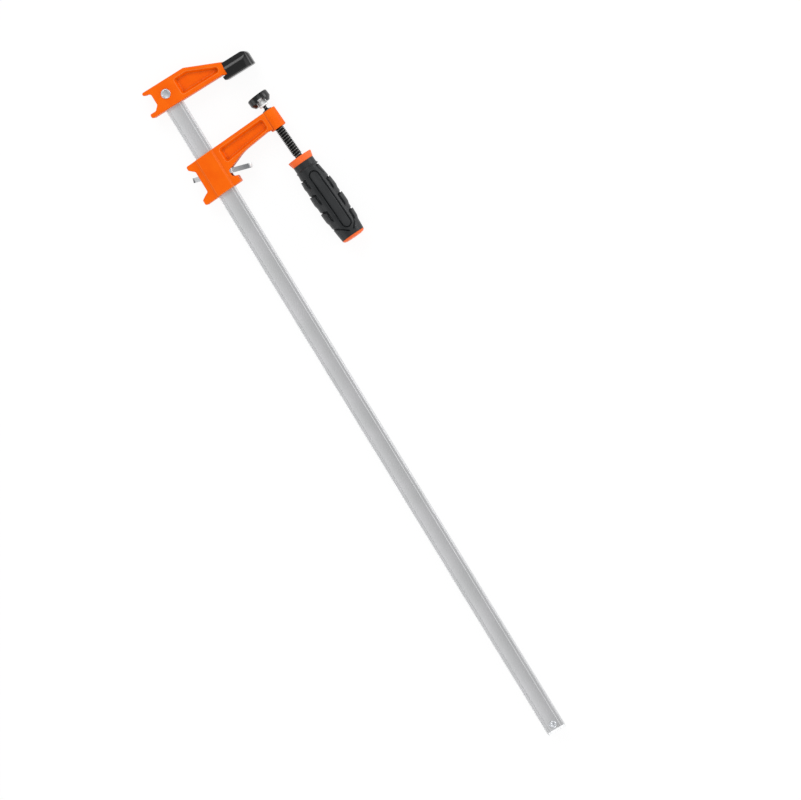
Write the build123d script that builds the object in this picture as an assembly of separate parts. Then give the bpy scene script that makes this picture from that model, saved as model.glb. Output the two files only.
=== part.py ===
"""Bar clamp with a sliding head, a two-plate clutch, a screw with a swivel pad and a moulded handle.

The clamp lies on its side. X runs down the bar from the fixed jaw, Y from the bar to the jaw tips, Z up.
The origin is the centre of the fixed jaw's clamping face. Sizes are in millimetres.
While modelling, Y is counted from the bar's centre line.
"""

import math
import os

from build123d import *

# Clearances
RUN_CLEARANCE = 0.30
FIT_CLEARANCE = 0.05
GRIP_CLEARANCE = 0.06
THREAD_CLEARANCE = 0.15

# Layout
JAW_AXIS = 71.3
SCREW_LEAN = 3.2
PAD_LEAN = 6.0
PAD_TURN = 8.0
BALL_X = 34.9
BALL_Y = 72.3
EDGE_ROUND = 0.9
SMALL_ROUND = 0.8
LUG_ROUND = 1.6
LUG_ROOT_ROUND = 2.0
THROUGH = 400.0

# Bar
BAR_WIDTH = 18.6
BAR_THICKNESS = 7.0
BAR_START = -27.8
BAR_END = 685.0
BAR_BEVEL_ACROSS = 1.5
BAR_BEVEL_DEEP = 0.9
BAR_END_BEVEL = 2.4

# Bar end stop
STOP_INSET = 7.4
STOP_SHANK_RADIUS = 2.0
STOP_HEAD_RADIUS = 3.5
STOP_HEAD_HEIGHT = 1.6
STOP_HEAD_BEVEL = 0.7
STOP_DIMPLE_RADIUS = 1.7
STOP_DIMPLE_DEPTH = 0.6

# Fixed head
FIXED_HALF = 8.6
FIXED_TOP = -31.7
FIXED_BOTTOM = -6.2
FIXED_REAR_WALL = 3.2
FIXED_LUG_THICKNESS = 3.4
FIXED_LOWER_LUG_THICKNESS = 4.4
FIXED_UPPER_LUG = 19.6
FIXED_LOWER_LUG = 23.3
FIXED_LUG_SLOPE = 4.2
FIXED_SHOULDER = 26.6
FIXED_SHOULDER_ROUND = 4.0
ARM_TIP_TOP = -17.4
ARM_TIP = 59.9
ARM_LIP = 1.8
ARM_LIP_WIDTH = 2.6
RECESS_DEPTH = 4.2
RECESS_TAPER = 30.0
RECESS_ROUND = 0.5
FIXED_RECESS_START = 15.4
FIXED_RECESS_END = 52.4
FIXED_RECESS_MARGIN = 6.4
RIVET_X = -19.5
RIVET_SHANK_RADIUS = 3.5
RIVET_HEAD_RADIUS = 4.75
RIVET_HEAD_HEIGHT = 1.0
RIVET_HEAD_BEVEL = 0.5
RIVET_DIMPLE_RADIUS = 3.3
RIVET_DIMPLE_DEPTH = 0.45

# Fixed jaw pad, a cap over the tongue of the fixed head
JAW_PAD_HALF = 9.5
JAW_PAD_TOP = -16.4
JAW_PAD_TIP = 86.5
JAW_PAD_TIP_ROUND = 7.5
JAW_PAD_LIP = 5.0
JAW_PAD_WALL = 3.0
JAW_PAD_SLOPE = 6.0
JAW_PAD_SLOPE_IN = 4.0
TONGUE_WALL = 2.8
TONGUE_FACE_WALL = 3.0
TONGUE_TIP_WALL = 3.3
TONGUE_TIP_ROUND = 3.0
TONGUE_ROOT = 4.0
JAW_PAD_LIP_ROUND = 2.0
JAW_PAD_EDGE_ROUND = 0.6

# Sliding head
SLIDE_HALF = 7.4
SLIDE_TOP = 48.2
SLIDE_BOTTOM = 88.6
SLIDE_REAR_WALL = 5.7
SLIDE_LUG_THICKNESS = 4.0
SLIDE_LOWER_LUG_THICKNESS = 5.6
SLIDE_UPPER_LUG = 20.3
SLIDE_LOWER_LUG = 23.2
SLIDE_LUG_SLOPE = 4.6
SLIDE_NOSE = 17.6
SLIDE_NOSE_THICKNESS = 6.6
NOTCH_FLOOR = 12.9
NOTCH_ROUND = 2.6
ARM_WAIST_X = 61.6
ARM_WAIST_Y = 61.8
ARM_WAIST_ROUND = 3.0
ARM_KNEE_X = 65.2
ARM_KNEE_Y = 34.0
ARM_KNEE_ROUND = 40.0
SLIDE_RECESS_START = 17.4
SLIDE_RECESS_END = 63.1
SLIDE_RECESS_TOP_MARGIN = 5.9
SLIDE_RECESS_HEIGHT = 10.3
SLIDE_RECESS_END_HEIGHT = 6.8
BAND_RISE = 1.1
BAND_TOP_HALF_WIDTH = 8.3
BAND_SLOPE = 1.4
BAND_SUNK = 0.2
BOSS_RADIUS = 7.7
BOSS_TOP = 9.2
BOSS_BOTTOM = 28.8

# Clutch plates and the nub of the sliding head that they bear on
PLATE_COUNT = 2
PLATE_THICKNESS = 2.3
PLATE_GAP = 0.05
PLATE_HALF_WIDTH = 5.9
PLATE_CORNER = 1.5
PLATE_REAR_REACH = 22.4
LEVER_HALF_WIDTH = 5.2
LEVER_LENGTH = 20.0
LEVER_ROUND = 3.0
GRIP_ANGLE = 16.5
NUB_X = 70.75
NUB_Y = 15.6
NUB_RADIUS = 1.2
NUB_PROUD = 0.3
CAVITY_CLEARANCE = 0.4
CAVITY_FLOOR = 80.6
CAVITY_MOUTH_FLOOR = 79.0

# Clutch spring
SPRING_RADIUS = 1.85
SPRING_WIRE_RADIUS = 0.35
SPRING_COILS = 5.5
SPRING_GAP = 0.3
SEAT_DEPTH = 1.8

# Spindle, measured from the centre of its ball
BALL_RADIUS = 2.6
NECK_RADIUS = 1.75
THREAD_RADIUS = 4.4
CORE_RADIUS = 3.6
THREAD_PITCH = 1.6
THREAD_ROOT_SHARE = 0.42
THREAD_CREST_SHARE = 0.2
THREAD_SUNK = 0.15
THREAD_START = 9.0
THREAD_RUNOUT = 2.4
TANG_LENGTH = 38.0

# Stop washer
WASHER_RADIUS = 4.8
WASHER_TOP_RADIUS = 2.6
WASHER_HEIGHT = 1.4
WASHER_RIM = 0.4

# Swivel pad and socket, measured from the centre of the ball
PAD_RADIUS = 10.6
PAD_FACE = 8.2
PAD_BEVEL = 0.6
PAD_RIM = 6.5
FINGER_LENGTH = 3.4
FINGER_OUTER = 8.0
FINGER_INNER = 5.3
SLOT_WIDTH = 6.4
SIDE_SLOT_WIDTH = 2.6
DISC_RADIUS = 7.6
DISC_TOP = 4.2
DISC_THICKNESS = 1.8
HUB_WALL = 0.85
HUB_BOTTOM = 4.3
HUB_LIP = 0.6
HUB_LIP_HEIGHT = 0.8
SOCKET_MOUTH = 2.3
SOCKET_FLARE = 3.1

# Handle, measured along the screw's axis from the flange
HANDLE_START = 62.2
HANDLE_ROLL = 15.0
FLANGE_RADIUS = 12.6
FLANGE_EDGE = 0.5
FLANGE_FOOT_RADIUS = 10.9
FLANGE_HEIGHT = 6.4
HANDLE_CORE_RADIUS = 6.5
GRIP_END = 87.8
GRIP_NECK_RADIUS = 10.8
GRIP_NECK_LENGTH = 5.6
GRIP_BEAD_RADIUS = 11.3
GRIP_BEAD_LENGTH = 1.2
GRIP_FOOT = 14.8
GRIP_FOOT_RADIUS = 11.2
GRIP_SHOULDER = 30.0
GRIP_SHOULDER_RADIUS = 13.1
GRIP_BELLY = 56.0
GRIP_BELLY_RADIUS = 13.7
GRIP_END_RADIUS = 11.9
GRIP_RAISE = 0.65
GROOVE_DEPTH = 0.7
GROOVE_WIDTH = 0.9
PANEL_START = 18.4
PANEL_END = 80.6
PANEL_WIDTH = 9.6
SIDE_LINE = 8.9
SIDE_PAD_SLANT = 2.5
SIDE_PAD_CORNER = 3.6
BAR_SIDE_PADS = [(21.0, 33.4), (38.2, 50.4), (57.0, 70.2)]
TIP_SIDE_PADS = [(16.2, 26.0), (31.0, 45.0), (50.0, 63.6), (69.0, 79.0)]
SLANT_GROOVE = [(74.6, -20.0), (83.6, -3.0)]
HOOK_GROOVE = [(79.0, 9.6), (83.8, 4.0)]
CAP_THICKNESS = 3.8
CAP_RADIUS = 11.8
CAP_EDGE = 1.4
CAP_DOME = 0.5
SPIGOT_RADIUS = 4.0
SPIGOT_LENGTH = 9.0


def outline(corners):
    """A flat face from (along, across, corner radius) corners."""
    points = [(along, across) for along, across, _ in corners]
    return make_face(FilletPolyline(*points, radius=[corner for _, _, corner in corners], close=True))


def slab(face, half):
    """A slab of that face, equally thick above and below the middle plane."""
    return extrude(face, half, both=True)


def casting(face, half):
    """A slab whose rims are rounded like a casting's."""
    body = slab(face, half)
    return fillet(body.faces().filter_by(Axis.Z).edges(), EDGE_ROUND)


def recess_pair(face, half):
    """The pockets with sloping walls in the two faces of an arm."""
    floor = Plane.XY.offset(half - RECESS_DEPTH) * face
    pocket = extrude(floor, RECESS_DEPTH + EDGE_ROUND, taper=-RECESS_TAPER)
    return pocket + mirror(pocket, about=Plane.XY)


def spun(points):
    """A solid of revolution about Z from (radius, distance along the axis) points."""
    return revolve(make_face(Polyline(*[(r, 0, s) for r, s in points], close=True)), Axis.Z)


def headed(points, x):
    """A pin with the same head on both sides, standing at x on the bar's centre line."""
    half = spun(points)
    return Pos(x, 0, 0) * (half + mirror(half, about=Plane.XY))


def drill(radius, x):
    """A round cut through the bar's centre line at x."""
    return Pos(x, 0, 0) * Cylinder(radius, THROUGH)


def bar_channel(start, end, clearance):
    """The space that the bar takes from start to end, with a clearance all round."""
    channel = Box(end - start, BAR_WIDTH + 2 * clearance, BAR_THICKNESS + 2 * clearance)
    return Pos((start + end) / 2, 0, 0) * channel


half_width = BAR_WIDTH / 2
half_thickness = BAR_THICKNESS / 2
lean = math.radians(SCREW_LEAN)
screw_dir = Vector(math.cos(lean), math.sin(lean), 0)
across_screw = Vector(-math.sin(lean), math.cos(lean), 0)
up = Vector(0, 0, 1)
ball_centre = Vector(BALL_X, BALL_Y, 0)
screw_plane = Plane(origin=ball_centre, x_dir=up, z_dir=screw_dir)
pad_lean = math.radians(PAD_LEAN)
pad_dir = Vector(math.cos(pad_lean), math.sin(pad_lean), 0)
across_pad = Vector(-math.sin(pad_lean), math.cos(pad_lean), 0)
pad_turn = math.radians(PAD_TURN)
slot_dir = up * math.cos(pad_turn) + across_pad * math.sin(pad_turn)
pad_plane = Plane(origin=ball_centre, x_dir=slot_dir, z_dir=pad_dir)
roll = math.radians(HANDLE_ROLL)
panel_dir = up * math.cos(roll) + across_screw * math.sin(roll)
handle_plane = Plane(origin=ball_centre + screw_dir * HANDLE_START, x_dir=panel_dir, z_dir=screw_dir)
nodes = {}

# Bar: a flat bar with bevelled edges and a bevelled free end
bevel_y = half_width - BAR_BEVEL_ACROSS
bevel_z = half_thickness - BAR_BEVEL_DEEP
bar_section = [
    (half_width, bevel_z), (bevel_y, half_thickness), (-bevel_y, half_thickness), (-half_width, bevel_z),
    (-half_width, -bevel_z), (-bevel_y, -half_thickness), (bevel_y, -half_thickness), (half_width, -bevel_z),
]
bar_face = Plane.YZ.offset(BAR_START) * make_face(Polyline(*bar_section, close=True))
bar = extrude(bar_face, BAR_END - BAR_START)
bar = chamfer(bar.edges().filter_by(Axis.Y).group_by(Axis.X)[-1], BAR_END_BEVEL)
stop_x = BAR_END - STOP_INSET
bar -= drill(RIVET_SHANK_RADIUS + FIT_CLEARANCE, RIVET_X)
bar -= drill(STOP_SHANK_RADIUS + FIT_CLEARANCE, stop_x)
nodes["bar"] = bar

# Bar end stop: a pin headed on both faces, dimpled where it was riveted over
stop_top = half_thickness + STOP_HEAD_HEIGHT
stop_floor = stop_top - STOP_DIMPLE_DEPTH
nodes["bar_end_stop"] = headed([
    (0, 0), (STOP_SHANK_RADIUS, 0), (STOP_SHANK_RADIUS, half_thickness), (STOP_HEAD_RADIUS, half_thickness),
    (STOP_HEAD_RADIUS, stop_top - STOP_HEAD_BEVEL), (STOP_HEAD_RADIUS - STOP_HEAD_BEVEL, stop_top),
    (STOP_DIMPLE_RADIUS, stop_top), (STOP_DIMPLE_RADIUS - STOP_DIMPLE_DEPTH, stop_floor), (0, stop_floor),
], stop_x)

# Fixed head: a block round the bar's end, an arm with a recess and a tongue for the pad
fixed_rear = half_width + FIXED_REAR_WALL
lip_x = FIXED_BOTTOM + ARM_LIP
upper_lug_x = FIXED_TOP + FIXED_LUG_THICKNESS
lower_lug_x = FIXED_BOTTOM - FIXED_LOWER_LUG_THICKNESS
fixed_face = outline([
    (FIXED_TOP, -FIXED_UPPER_LUG, LUG_ROUND), (FIXED_TOP, FIXED_SHOULDER, FIXED_SHOULDER_ROUND),
    (ARM_TIP_TOP, ARM_TIP, 0), (lip_x, ARM_TIP, 0), (lip_x, ARM_TIP - ARM_LIP_WIDTH, SMALL_ROUND),
    (FIXED_BOTTOM, ARM_TIP - ARM_LIP_WIDTH - ARM_LIP, SMALL_ROUND),
    (FIXED_BOTTOM, -FIXED_LOWER_LUG, LUG_ROUND), (lower_lug_x, -FIXED_LOWER_LUG, LUG_ROUND),
    (lower_lug_x, -fixed_rear - FIXED_LUG_SLOPE, LUG_ROOT_ROUND),
    (lower_lug_x - FIXED_LUG_SLOPE, -fixed_rear, LUG_ROOT_ROUND),
    (upper_lug_x + FIXED_LUG_SLOPE / 2, -fixed_rear, LUG_ROOT_ROUND),
    (upper_lug_x, -fixed_rear - FIXED_LUG_SLOPE, LUG_ROOT_ROUND), (upper_lug_x, -FIXED_UPPER_LUG, LUG_ROUND),
])
recess_top = FIXED_TOP + FIXED_RECESS_MARGIN
recess_bottom = FIXED_BOTTOM - FIXED_RECESS_MARGIN
slope_rate = (ARM_TIP_TOP - FIXED_TOP) / (ARM_TIP - FIXED_SHOULDER)
recess_end_top = recess_top + slope_rate * (FIXED_RECESS_END - FIXED_SHOULDER)
fixed_recess = outline([
    (recess_top, FIXED_RECESS_START, RECESS_ROUND), (recess_top, FIXED_SHOULDER, RECESS_ROUND),
    (recess_end_top, FIXED_RECESS_END, RECESS_ROUND), (recess_bottom, FIXED_RECESS_END, RECESS_ROUND),
    (recess_bottom, FIXED_RECESS_START, RECESS_ROUND),
])
tongue_top = JAW_PAD_TOP + TONGUE_WALL
tongue_tip = JAW_PAD_TIP - TONGUE_TIP_WALL
tongue_face = outline([
    (tongue_top, ARM_TIP - TONGUE_ROOT, 0), (tongue_top, tongue_tip, TONGUE_TIP_ROUND),
    (-TONGUE_FACE_WALL, tongue_tip, 0), (-TONGUE_FACE_WALL, ARM_TIP - ARM_LIP_WIDTH / 2, 0),
    (lip_x, ARM_TIP - TONGUE_ROOT / 2, 0), (FIXED_BOTTOM - EDGE_ROUND, ARM_TIP - TONGUE_ROOT, 0),
])
tongue = slab(tongue_face, JAW_PAD_HALF - JAW_PAD_WALL)
fixed_block = casting(fixed_face, FIXED_HALF)
fixed_head = fixed_block - recess_pair(fixed_recess, FIXED_HALF) + tongue
fixed_head -= bar_channel(BAR_START - FIT_CLEARANCE, BAR_END, FIT_CLEARANCE)
fixed_head -= drill(RIVET_SHANK_RADIUS + FIT_CLEARANCE, RIVET_X)
nodes["fixed_head"] = fixed_head

# Rivet through the fixed head and the bar
rivet_top = FIXED_HALF + RIVET_HEAD_HEIGHT
rivet_floor = rivet_top - RIVET_DIMPLE_DEPTH
nodes["fixed_head_rivet"] = headed([
    (0, 0), (RIVET_SHANK_RADIUS, 0), (RIVET_SHANK_RADIUS, FIXED_HALF), (RIVET_HEAD_RADIUS, FIXED_HALF),
    (RIVET_HEAD_RADIUS, rivet_top - RIVET_HEAD_BEVEL), (RIVET_HEAD_RADIUS - RIVET_HEAD_BEVEL, rivet_top),
    (RIVET_DIMPLE_RADIUS + RIVET_DIMPLE_DEPTH, rivet_top), (RIVET_DIMPLE_RADIUS, rivet_floor),
    (0, rivet_floor),
], RIVET_X)

# Fixed jaw pad: round at the tip, with sloping upper edges and a lip hooked under the arm
lip_start = ARM_TIP - JAW_PAD_LIP
jaw_pad = slab(outline([
    (JAW_PAD_TOP, ARM_TIP, 0), (JAW_PAD_TOP, JAW_PAD_TIP, JAW_PAD_TIP_ROUND),
    (0, JAW_PAD_TIP, JAW_PAD_EDGE_ROUND), (0, lip_start, JAW_PAD_LIP_ROUND),
    (lip_x, lip_start, JAW_PAD_LIP_ROUND / 2), (lip_x, ARM_TIP, 0),
]), JAW_PAD_HALF)
plan = Pos(0, JAW_PAD_TIP - THROUGH / 2, 0) * Box(THROUGH, THROUGH, 2 * JAW_PAD_HALF)
jaw_pad &= fillet(plan.edges().filter_by(Axis.X).group_by(Axis.Y)[-1], JAW_PAD_TIP_ROUND)
slope_top = JAW_PAD_HALF - JAW_PAD_SLOPE_IN
pad_side = [(JAW_PAD_TOP, slope_top), (JAW_PAD_TOP + JAW_PAD_SLOPE, JAW_PAD_HALF), (0, JAW_PAD_HALF)]
pad_section = pad_side + [(x, -z) for x, z in reversed(pad_side)]
jaw_pad &= extrude(Plane.XZ * make_face(Polyline(*pad_section, close=True)), THROUGH, both=True)
nodes["fixed_jaw_pad"] = jaw_pad - tongue - fixed_block

# Sliding head: a sleeve on the bar with a raised band, an arm with a recess and a boss for the screw
slide_rear = half_width + SLIDE_REAR_WALL
slide_upper_lug_x = SLIDE_TOP + SLIDE_UPPER_LUG * math.tan(lean)
slide_lower_lug_x = SLIDE_BOTTOM + SLIDE_LOWER_LUG * math.tan(lean)
slide_lug_floor = slide_lower_lug_x - SLIDE_LOWER_LUG_THICKNESS
slide_lug_roof = slide_upper_lug_x + SLIDE_LUG_THICKNESS
nose_x = SLIDE_BOTTOM - SLIDE_NOSE * math.tan(lean)
nose_top = nose_x - SLIDE_NOSE_THICKNESS
boss_centre = ball_centre + screw_dir * (BOSS_TOP + BOSS_BOTTOM) / 2
arm_end = boss_centre.Y - BOSS_RADIUS / 2
slide_face = outline([
    (slide_upper_lug_x, -SLIDE_UPPER_LUG, LUG_ROUND), (SLIDE_TOP - arm_end * math.tan(lean), arm_end, 0),
    (ARM_WAIST_X + SMALL_ROUND, arm_end, 0), (ARM_WAIST_X, ARM_WAIST_Y, ARM_WAIST_ROUND),
    (ARM_KNEE_X, ARM_KNEE_Y, ARM_KNEE_ROUND), (NUB_X + NUB_RADIUS, NUB_Y + NUB_RADIUS, SMALL_ROUND),
    (NUB_X + 2 * NUB_RADIUS, NOTCH_FLOOR, NOTCH_ROUND / 2), (nose_top - NUB_RADIUS, NOTCH_FLOOR, NOTCH_ROUND),
    (nose_top, SLIDE_NOSE, SMALL_ROUND), (nose_x, SLIDE_NOSE, SMALL_ROUND),
    (slide_lower_lug_x, -SLIDE_LOWER_LUG, LUG_ROUND), (slide_lug_floor, -SLIDE_LOWER_LUG, LUG_ROUND),
    (slide_lug_floor - SLIDE_LUG_SLOPE / 2, -slide_rear - SLIDE_LUG_SLOPE, SMALL_ROUND),
    (slide_lug_floor - SLIDE_LUG_SLOPE, -slide_rear, LUG_ROOT_ROUND),
    (slide_lug_roof + SLIDE_LUG_SLOPE, -slide_rear, LUG_ROOT_ROUND),
    (slide_lug_roof, -SLIDE_UPPER_LUG, LUG_ROUND),
])
recess_roof = SLIDE_TOP + SLIDE_RECESS_TOP_MARGIN
roof_start = recess_roof - SLIDE_RECESS_START * math.tan(lean)
roof_end = recess_roof - SLIDE_RECESS_END * math.tan(lean)
slide_recess = outline([
    (roof_start, SLIDE_RECESS_START, RECESS_ROUND), (roof_end, SLIDE_RECESS_END, RECESS_ROUND),
    (roof_end + SLIDE_RECESS_END_HEIGHT, SLIDE_RECESS_END, RECESS_ROUND),
    (roof_start + SLIDE_RECESS_HEIGHT, SLIDE_RECESS_START, RECESS_ROUND),
])
band_foot = BAND_TOP_HALF_WIDTH + BAND_SLOPE
band_foot_z = SLIDE_HALF - BAND_SUNK
band_top_z = SLIDE_HALF + BAND_RISE
band_section = [
    (band_foot, band_foot_z), (BAND_TOP_HALF_WIDTH, band_top_z), (-BAND_TOP_HALF_WIDTH, band_top_z),
    (-band_foot, band_foot_z), (-band_foot, -band_foot_z), (-BAND_TOP_HALF_WIDTH, -band_top_z),
    (BAND_TOP_HALF_WIDTH, -band_top_z), (band_foot, -band_foot_z),
]
band = extrude(Plane.YZ * make_face(Polyline(*band_section, close=True)), THROUGH)
boss = Pos(0, 0, (BOSS_TOP + BOSS_BOTTOM) / 2) * Cylinder(BOSS_RADIUS, BOSS_BOTTOM - BOSS_TOP)
boss = fillet(boss.edges().filter_by(GeomType.CIRCLE), EDGE_ROUND)
sliding_head = casting(slide_face, SLIDE_HALF) + (band & slab(slide_face, band_top_z))
sliding_head -= recess_pair(slide_recess, SLIDE_HALF)
sliding_head += screw_plane * boss
sliding_head -= screw_plane * Cylinder(THREAD_RADIUS + THREAD_CLEARANCE, THROUGH)
sliding_head -= bar_channel(0, THROUGH, RUN_CLEARANCE)

# Clutch cavity: a slot across the sleeve whose roof lies along the tilted plates
grip = math.radians(GRIP_ANGLE)
plate_along = Vector(math.sin(grip), math.cos(grip), 0)
plate_down = Vector(math.cos(grip), -math.sin(grip), 0)
nub_centre = Vector(NUB_X, NUB_Y, 0)
drop = NUB_RADIUS + PLATE_GAP
pack = PLATE_COUNT * PLATE_THICKNESS + (PLATE_COUNT - 1) * PLATE_GAP
cavity_half = PLATE_HALF_WIDTH + CAVITY_CLEARANCE
roof = nub_centre + plate_down * (drop - CAVITY_CLEARANCE)
roof_near = roof - plate_along * NUB_RADIUS * 2
roof_far = roof - plate_along * 2 * PLATE_REAR_REACH
brow = nub_centre + plate_down * (NUB_RADIUS - NUB_PROUD) + plate_along * NUB_RADIUS
mouth = SLIDE_NOSE * 2
cavity = slab(make_face(Polyline(
    (roof_far.X, roof_far.Y), (roof_near.X, roof_near.Y), (brow.X, brow.Y), (brow.X + SEAT_DEPTH, mouth),
    (CAVITY_MOUTH_FLOOR, mouth), (CAVITY_MOUTH_FLOOR, half_width + RUN_CLEARANCE),
    (CAVITY_FLOOR, half_width), (CAVITY_FLOOR, roof_far.Y), close=True)), cavity_half)
spring_y = -(half_width + slide_rear) / 2
seat_floor = CAVITY_FLOOR + SEAT_DEPTH
seat_radius = SPRING_RADIUS + SPRING_WIRE_RADIUS + RUN_CLEARANCE
seat_plane = Plane(origin=(CAVITY_FLOOR, spring_y, 0), x_dir=(0, 1, 0), z_dir=(1, 0, 0))
sliding_head -= cavity
sliding_head += Pos(NUB_X, NUB_Y, 0) * Cylinder(NUB_RADIUS, 2 * cavity_half)
sliding_head -= seat_plane * Cylinder(seat_radius, 2 * SEAT_DEPTH)
nodes["sliding_head"] = sliding_head

# Clutch plates: tilted on the bar, each with a lever end and a window for the bar
window_length = (BAR_WIDTH + 2 * GRIP_CLEARANCE + pack * math.sin(grip)) / math.cos(grip)
window_centre = -(NUB_Y - (drop + pack / 2) * math.sin(grip)) / math.cos(grip)
rear_end = window_centre - PLATE_REAR_REACH
lever_root = -LEVER_ROUND - PLATE_CORNER
for i in range(PLATE_COUNT):
    level = drop + i * (PLATE_THICKNESS + PLATE_GAP)
    plate_plane = Plane(origin=nub_centre + plate_down * level, x_dir=plate_along, z_dir=plate_down)
    body = Pos((rear_end + NUB_RADIUS) / 2, 0) * Rectangle(NUB_RADIUS - rear_end, 2 * PLATE_HALF_WIDTH)
    lever = Rectangle(LEVER_LENGTH - lever_root, 2 * LEVER_HALF_WIDTH)
    lever = Pos((LEVER_LENGTH + lever_root) / 2, 0) * lever
    blank = fillet(body.vertices(), PLATE_CORNER) + fillet(lever.vertices(), LEVER_ROUND)
    blank -= Pos(window_centre, 0) * Rectangle(window_length, BAR_THICKNESS + 2 * RUN_CLEARANCE)
    nodes[f"clutch_plate_{i + 1}"] = extrude(plate_plane * blank, PLATE_THICKNESS)

# Clutch spring: a coil between its seat and the underside of the plates
spring_edge = Vector(0, spring_y + SPRING_RADIUS + SPRING_WIRE_RADIUS, 0)
run_to_edge = (spring_edge.Y - NUB_Y + (drop + pack) * math.sin(grip)) / math.cos(grip)
underside = NUB_X + (drop + pack) * math.cos(grip) + run_to_edge * math.sin(grip)
spring_top = underside + SPRING_GAP
coil_length = seat_floor - spring_top - 2 * SPRING_WIRE_RADIUS
coil = Helix(pitch=coil_length / SPRING_COILS, height=coil_length, radius=SPRING_RADIUS)
wire = Plane(origin=coil @ 0, z_dir=coil % 0) * Circle(SPRING_WIRE_RADIUS)
spring_plane = Plane(origin=(spring_top + SPRING_WIRE_RADIUS, spring_y, 0), x_dir=(0, 1, 0), z_dir=(1, 0, 0))
nodes["clutch_spring"] = spring_plane * sweep(wire, coil, is_frenet=True)

# Spindle: ball, neck, screw thread and the tang in the handle
neck_start = math.sqrt(BALL_RADIUS ** 2 - NECK_RADIUS ** 2) - THREAD_SUNK
tang_end = HANDLE_START + TANG_LENGTH
spindle = Sphere(BALL_RADIUS) + spun([
    (0, neck_start), (NECK_RADIUS, neck_start), (NECK_RADIUS, THREAD_START), (CORE_RADIUS, THREAD_START),
    (CORE_RADIUS, tang_end), (0, tang_end),
])
thread_height = HANDLE_START - THREAD_RUNOUT - THREAD_START - THREAD_PITCH
path = Helix(pitch=THREAD_PITCH, height=thread_height, radius=CORE_RADIUS)
crest = THREAD_RADIUS - CORE_RADIUS
root_half = THREAD_ROOT_SHARE * THREAD_PITCH
crest_half = THREAD_CREST_SHARE * THREAD_PITCH
ridge_section = [
    (-THREAD_SUNK, -root_half), (crest, -crest_half), (crest, crest_half), (-THREAD_SUNK, root_half),
]
ridge_plane = Plane(origin=path @ 0, x_dir=(1, 0, 0), z_dir=path % 0)
ridge = sweep(ridge_plane * make_face(Polyline(*ridge_section, close=True)), path, is_frenet=True)
spindle += Pos(0, 0, THREAD_START + THREAD_PITCH / 2) * ridge
nodes["spindle"] = screw_plane * spindle

# Stop washer: a domed ring on the neck that keeps the screw from backing out of the boss
washer_bore = NECK_RADIUS + FIT_CLEARANCE
washer_top = THREAD_START - WASHER_HEIGHT
nodes["spindle_stop_washer"] = screw_plane * spun([
    (washer_bore, THREAD_START), (WASHER_RADIUS, THREAD_START), (WASHER_RADIUS, THREAD_START - WASHER_RIM),
    (WASHER_TOP_RADIUS, washer_top), (washer_bore, washer_top),
])

# Swivel socket: a disc in the pad with a hub closed round the ball
socket_radius = BALL_RADIUS + FIT_CLEARANCE
hub_radius = socket_radius + HUB_WALL
lip_top = HUB_BOTTOM - HUB_LIP_HEIGHT
mouth_depth = math.sqrt(socket_radius ** 2 - SOCKET_MOUTH ** 2)
disc_bottom = DISC_THICKNESS - DISC_TOP
socket = spun([
    (0, -DISC_TOP), (DISC_RADIUS, -DISC_TOP), (DISC_RADIUS, disc_bottom), (hub_radius, disc_bottom),
    (hub_radius, lip_top), (hub_radius + HUB_LIP, lip_top), (hub_radius + HUB_LIP, HUB_BOTTOM),
    (SOCKET_FLARE, HUB_BOTTOM), (SOCKET_MOUTH, mouth_depth), (0, mouth_depth),
])
nodes["swivel_socket"] = pad_plane * (socket - Sphere(socket_radius))

# Swivel pad: a cap that clips over the disc with four fingers
rim_end = PAD_RIM - PAD_FACE
finger_end = rim_end + FINGER_LENGTH
swivel_pad = spun([
    (0, -PAD_FACE), (PAD_RADIUS - PAD_BEVEL, -PAD_FACE), (PAD_RADIUS, PAD_BEVEL - PAD_FACE),
    (PAD_RADIUS, rim_end), (FINGER_OUTER, finger_end), (FINGER_INNER, finger_end),
    (FINGER_INNER, disc_bottom), (DISC_RADIUS, disc_bottom), (DISC_RADIUS, -DISC_TOP), (0, -DISC_TOP),
])
slot = Pos(0, 0, (finger_end - DISC_TOP) / 2) * Box(THROUGH, SLOT_WIDTH, finger_end + DISC_TOP)
side_slot = Pos(0, 0, rim_end + FINGER_LENGTH / 2) * Box(SIDE_SLOT_WIDTH, THROUGH, FINGER_LENGTH)
core_space = Cylinder(FINGER_INNER, THROUGH)
nodes["swivel_pad"] = pad_plane * (swivel_pad - (slot - core_space) - (side_slot - core_space))

# Handle core: the flange and the tube inside the grip
tang_bore = CORE_RADIUS + FIT_CLEARANCE
spigot_start = GRIP_END - SPIGOT_LENGTH
nodes["handle_core"] = handle_plane * spun([
    (tang_bore, 0), (FLANGE_RADIUS - FLANGE_EDGE, 0), (FLANGE_RADIUS, FLANGE_EDGE),
    (FLANGE_FOOT_RADIUS, FLANGE_HEIGHT), (HANDLE_CORE_RADIUS, FLANGE_HEIGHT),
    (HANDLE_CORE_RADIUS, GRIP_END), (SPIGOT_RADIUS, GRIP_END),
    (SPIGOT_RADIUS, spigot_start), (0, spigot_start), (0, TANG_LENGTH), (tang_bore, TANG_LENGTH),
])


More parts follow.
